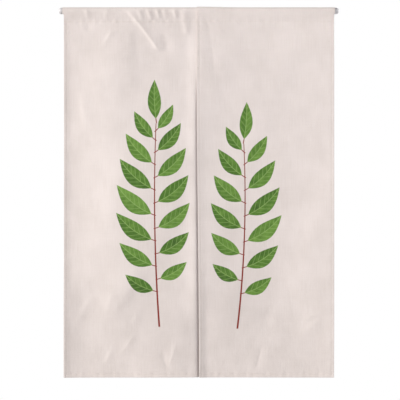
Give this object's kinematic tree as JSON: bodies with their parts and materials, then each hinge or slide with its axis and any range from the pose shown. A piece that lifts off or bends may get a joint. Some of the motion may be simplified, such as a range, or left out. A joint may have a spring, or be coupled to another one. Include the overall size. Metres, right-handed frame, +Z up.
{
  "type": "noren curtain on a rod",
  "caption": "Split door curtain of linen-like cloth panels, sewn together at the top and lapped below, with a rod pocket, hanging on a straight tension rod with domed end caps.",
  "frame": {"origin": "middle of the rod, on its axis", "axes": "+X to the right along the rod, +Y away from the viewer, +Z up"},
  "size_m": [0.884, 0.0315, 1.169],
  "materials": {
    "cloth": "matt plain weave, natural off-white with a printed leaf design",
    "rod_enamel": "white enamelled steel tube",
    "cap_plastic": "moulded off-white plastic"
  },
  "bodies": {
    "root": {"panel_left": "cloth", "panel_right": "cloth", "rod": "rod_enamel", "end_cap_left": "cap_plastic", "end_cap_right": "cap_plastic"}
  },
  "joints": []
}
